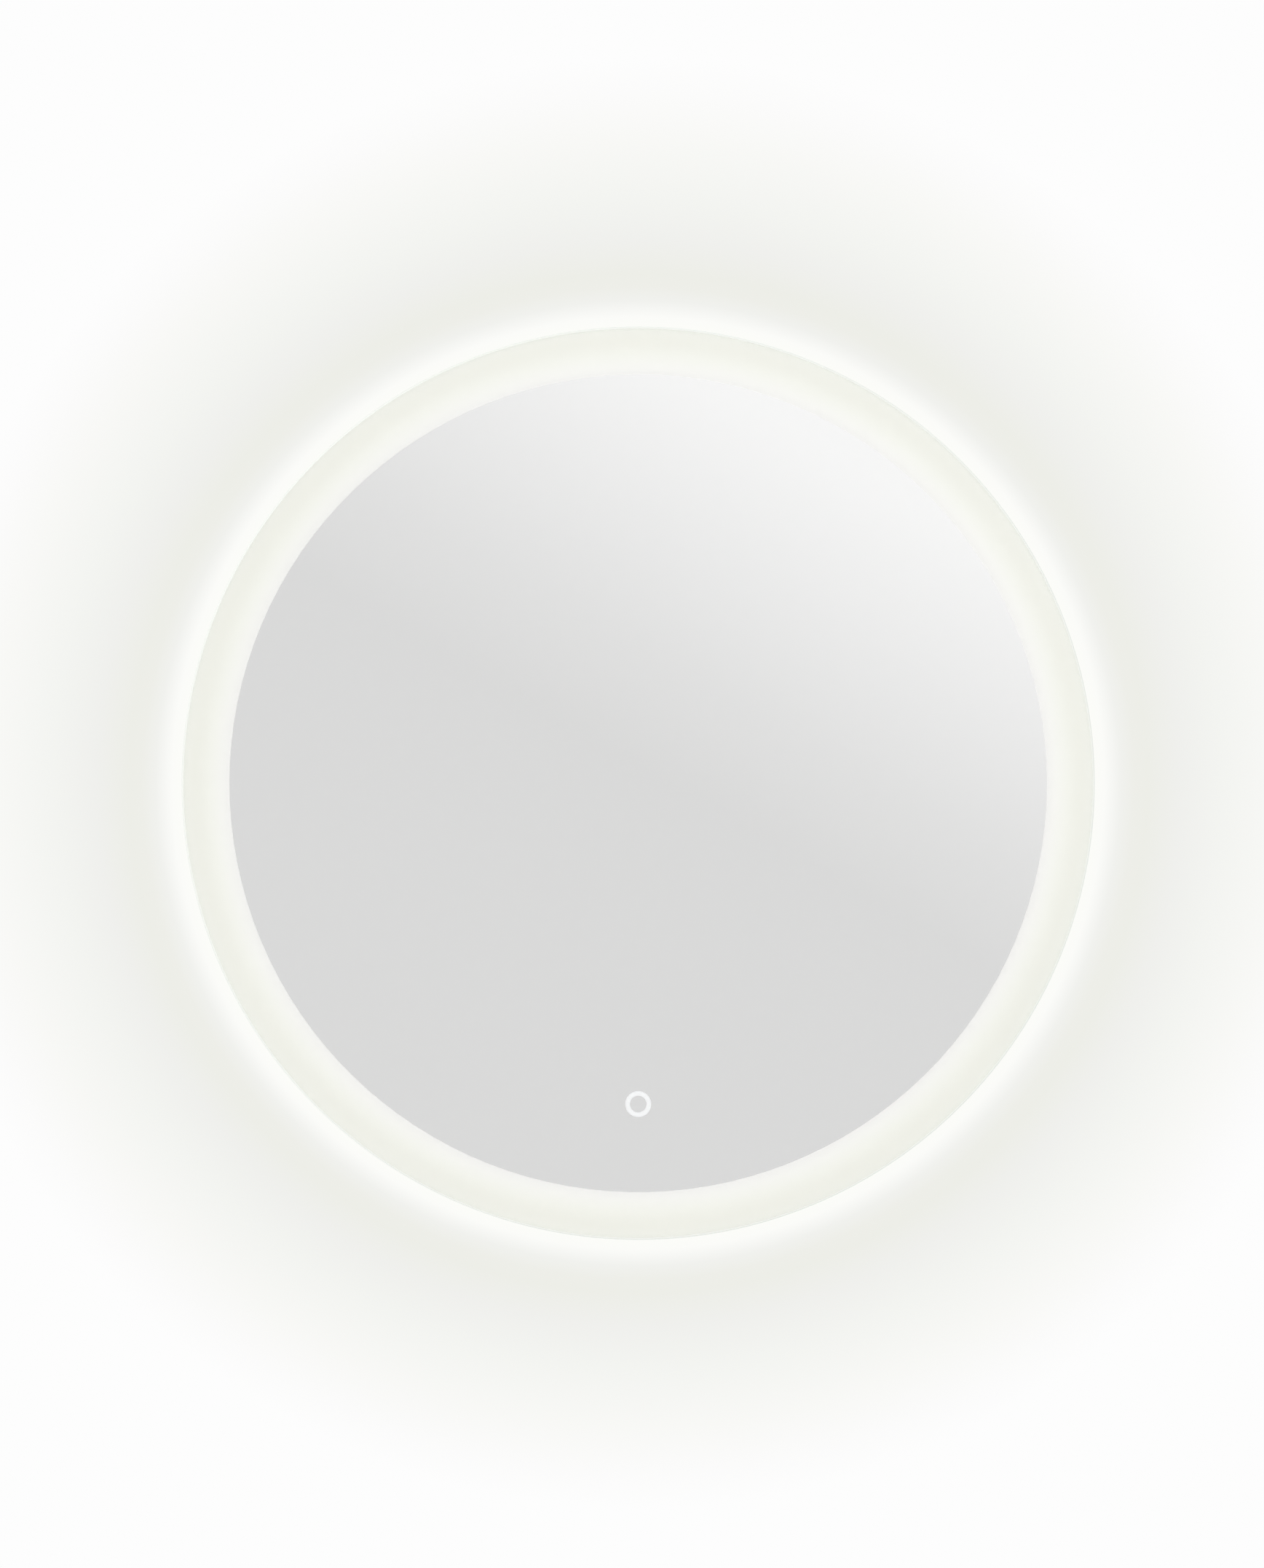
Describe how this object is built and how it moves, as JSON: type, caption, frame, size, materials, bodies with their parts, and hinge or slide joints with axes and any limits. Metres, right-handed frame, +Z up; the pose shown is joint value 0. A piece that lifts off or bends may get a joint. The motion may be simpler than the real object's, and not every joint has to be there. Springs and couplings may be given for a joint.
{
  "type": "lighted bathroom mirror",
  "caption": "Round frameless wall mirror with a frosted rim lit from behind, a ring-shaped touch switch near its lower edge and a hook-on wall rail.",
  "frame": {"origin": "midway between the wall rail's two screws, on the wall's surface", "axes": "+Z up, the mirror faces -Y, the wall is the plane y = 0 and the screws' heads point towards -Y; +X is to the right seen from the front"},
  "size_m": [0.5999, 0.043, 0.6],
  "materials": {
    "clear_glass": "clear float glass, arrised edge",
    "silver": "silvered and painted back",
    "frosted": "sandblasted, lit from behind",
    "heater_film": "printed heating film",
    "foam_tape": "closed-cell foam tape",
    "anodised": "satin anodised extrusion",
    "mill_aluminium": "mill finish extrusion",
    "rivet": "plain aluminium",
    "circuit": "white solder mask",
    "led": "phosphor and white housing",
    "opal": "opal diffuser, lit",
    "black_rubber": "moulded rubber",
    "galvanised": "galvanised sheet",
    "zinc_screw": "zinc plated",
    "white_plastic": "moulded, fine texture",
    "grey_plastic": "moulded, fine texture",
    "natural_nylon": "natural polyamide",
    "brass_screw": "plain brass",
    "board": "green solder mask",
    "white_cable": "white PVC sheath",
    "black_cable": "black PVC sheath",
    "earth_cable": "green and yellow PVC",
    "tinned": "tin plated"
  },
  "bodies": {
    "wall_rail": {"wall_rail": "mill_aluminium"},
    "mirror": {"mirror_glass": "clear_glass", "silver_backing": "silver", "frosted_band": "frosted", "demister_pad": "heater_film", "mounting_tape": "foam_tape", "frame_ring": "anodised", "frame_splice": "mill_aluminium", "splice_rivets": "rivet", "led_strip": "circuit", "led_chips": "led", "strip_connector": "circuit", "strip_cover": "opal", "frame_grommet": "black_rubber", "back_plate": "galvanised", "back_plate_screws": "zinc_screw", "hanging_cleat": "mill_aluminium", "cleat_rivets": "rivet", "wall_bumpers": "black_rubber", "terminal_box": "white_plastic", "terminal_box_lid": "white_plastic", "lid_screws": "zinc_screw", "inlet_grommet": "black_rubber", "terminal_block": "natural_nylon", "terminal_screws": "brass_screw", "cord_clamp": "natural_nylon", "clamp_screws": "zinc_screw", "driver_case": "grey_plastic", "driver_lid": "grey_plastic", "driver_screws": "zinc_screw", "touch_switch_case": "grey_plastic", "touch_switch_board": "board", "touch_ring_light": "opal", "driver_power_lead": "white_cable", "driver_output_lead": "black_cable", "strip_lead": "white_cable", "demister_lead": "white_cable", "earth_lead": "earth_cable", "cable_clips": "natural_nylon", "earth_stud": "zinc_screw", "earth_tag": "tinned", "earth_nut": "zinc_screw"}
  },
  "joints": [
    {"name": "mirror_lift", "type": "slide", "parent": "wall_rail", "child": "mirror", "axis": [0, 0, 1], "range_m": [0, 0.012]}
  ]
}
